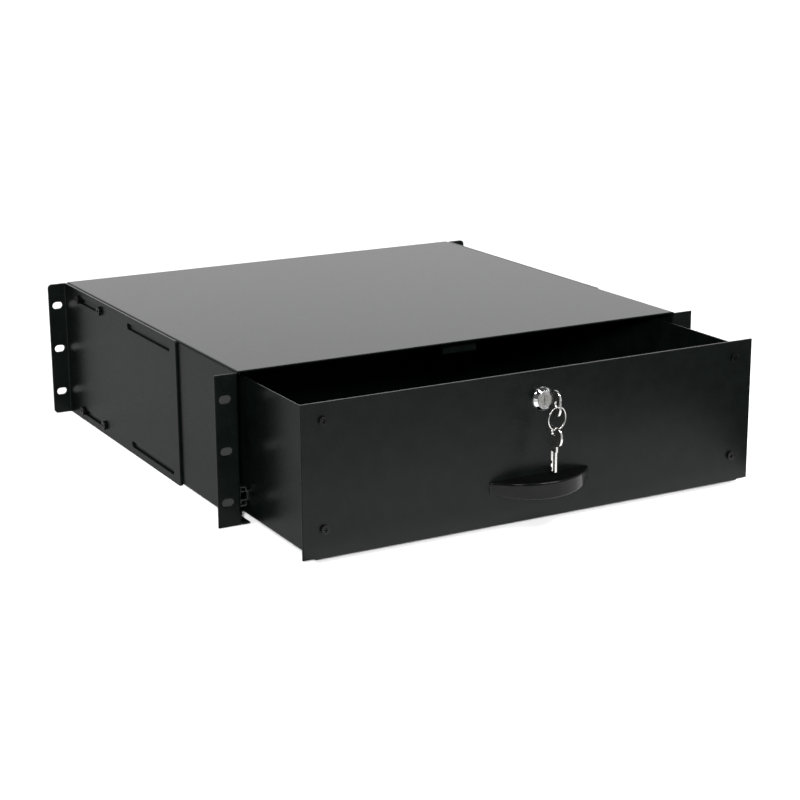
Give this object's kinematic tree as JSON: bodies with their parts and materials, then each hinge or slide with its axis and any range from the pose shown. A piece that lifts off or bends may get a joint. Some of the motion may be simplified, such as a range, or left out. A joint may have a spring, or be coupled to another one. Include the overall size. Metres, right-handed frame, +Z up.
{
  "type": "sliding rack drawer",
  "caption": "Lockable sliding rack drawer: a folded steel chassis with rack ears, slotted rear brackets, ball-bearing slides, half-moon pull and cam lock with keys.",
  "frame": {"origin": "centre of the front ears' slot pattern, on the back face of the ears where they bear on the rack", "axes": "+X to the right seen from the front, +Y into the rack, +Z up"},
  "size_m": [0.4826, 0.5698, 0.1336],
  "materials": {
    "black_coat": "satin",
    "black_screw": "gloss",
    "zinc_steel": "satin",
    "bright_steel": "polished",
    "chrome": "polished",
    "cast_zinc": "satin",
    "nickel": "polished",
    "black_plastic": "gloss",
    "rubber": "matte"
  },
  "bodies": {
    "chassis": {"chassis_shell": "black_coat", "rear_panel": "black_coat", "lock_strike": "black_coat", "left_outer_rail": "zinc_steel", "right_outer_rail": "zinc_steel", "outer_rail_rivets": "zinc_steel", "left_rail_bumper": "rubber", "right_rail_bumper": "rubber", "left_bracket_screws": "black_screw", "right_bracket_screws": "black_screw", "left_bracket_nuts": "zinc_steel", "right_bracket_nuts": "zinc_steel"},
    "left_bracket": {"left_rear_bracket": "black_coat"},
    "right_bracket": {"right_rear_bracket": "black_coat"},
    "drawer": {"drawer_tray": "black_coat", "drawer_back": "black_coat", "front_panel": "black_coat", "panel_screws": "black_screw", "panel_nuts": "zinc_steel", "pull_handle": "black_plastic", "handle_screws": "zinc_steel", "lock_barrel": "chrome", "lock_nut": "zinc_steel", "left_inner_rail": "zinc_steel", "right_inner_rail": "zinc_steel", "inner_rail_rivets": "zinc_steel"},
    "left_cage": {"left_ball_cage": "zinc_steel", "left_slide_balls": "bright_steel"},
    "right_cage": {"right_ball_cage": "zinc_steel", "right_slide_balls": "bright_steel"},
    "lock_core": {"lock_plug": "cast_zinc", "lock_cam": "zinc_steel", "cam_screw": "zinc_steel", "lock_key": "nickel"},
    "ring": {"key_ring": "nickel"},
    "spare": {"spare_key": "nickel"}
  },
  "joints": [
    {"name": "drawer_slide", "type": "slide", "parent": "chassis", "child": "drawer", "axis": [0, -1, 0], "range_m": [-0.115, 0.16]},
    {"name": "left_cage_slide", "type": "slide", "parent": "chassis", "child": "left_cage", "axis": [0, -1, 0], "range_m": [-0.0575, 0.08]},
    {"name": "right_cage_slide", "type": "slide", "parent": "chassis", "child": "right_cage", "axis": [0, -1, 0], "range_m": [-0.0575, 0.08]},
    {"name": "left_bracket_slide", "type": "slide", "parent": "chassis", "child": "left_bracket", "axis": [0, 1, 0], "range_m": [-0.003, 0.003]},
    {"name": "right_bracket_slide", "type": "slide", "parent": "chassis", "child": "right_bracket", "axis": [0, 1, 0], "range_m": [-0.003, 0.003]},
    {"name": "lock_turn", "type": "hinge", "parent": "drawer", "child": "lock_core", "pos_m": [0, -0.1165, 0.0415], "axis": [0, 1, 0], "range_deg": [0, 90]},
    {"name": "key_ring_swing", "type": "hinge", "parent": "lock_core", "child": "ring", "pos_m": [0, -0.1418, 0.03945], "axis": [-1, 0, 0], "range_deg": [-10, 45]},
    {"name": "spare_key_swing", "type": "hinge", "parent": "ring", "child": "spare", "pos_m": [-0.0026, -0.1423, 0.02062], "axis": [-1, 0, 0], "range_deg": [-15, 45]}
  ],
  "couplings": [
    {"joint": "left_cage_slide", "follows": "drawer_slide", "ratio": 0.5},
    {"joint": "right_cage_slide", "follows": "drawer_slide", "ratio": 0.5}
  ]
}
